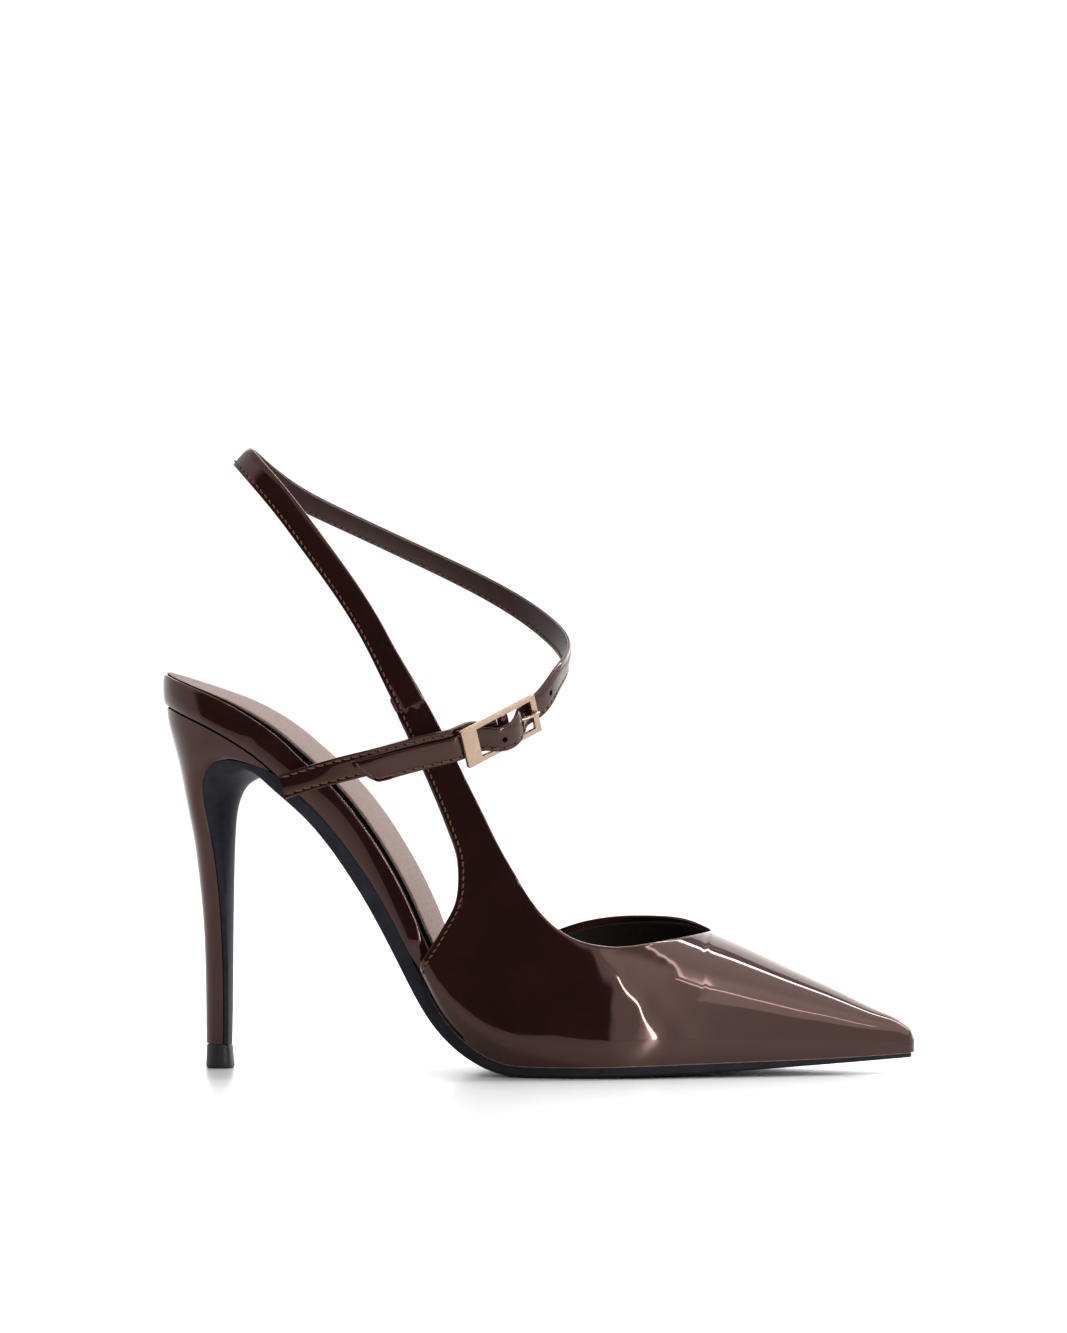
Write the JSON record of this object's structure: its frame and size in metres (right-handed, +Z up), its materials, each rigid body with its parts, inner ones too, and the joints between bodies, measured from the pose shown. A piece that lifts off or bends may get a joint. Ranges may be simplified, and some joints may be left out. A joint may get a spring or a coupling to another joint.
{
  "type": "patent leather pump",
  "caption": "Pointed-toe patent slingback pump on a stiletto heel, with an open V throat, a low inner side, an outer tab and a crossed ankle strap that buckles on the outer side.",
  "frame": {"origin": "middle of the shoe's length and width, on the floor it stands on", "axes": "+X to the toe, +Z up from the floor, -Y to the outer (little-toe) side of this right shoe"},
  "size_m": [0.2286, 0.0802, 0.1892],
  "materials": {
    "patent": "dark brown patent leather with a high gloss coat",
    "sock_lining": "soft taupe lining leather with a fine grain",
    "sole": "navy-black sole leather, lightly polished",
    "top_piece": "charcoal hard rubber",
    "pale_gold": "pale gold plating, satin face and polished edges"
  },
  "bodies": {
    "root": {"upper": "patent", "footbed": "patent", "sock": "sock_lining", "outsole": "sole", "heel": "patent", "heel_tip": "top_piece", "sling_strap": "patent", "buckle_strap": "patent", "buckle_frame": "pale_gold", "buckle_prong": "pale_gold"}
  },
  "joints": []
}
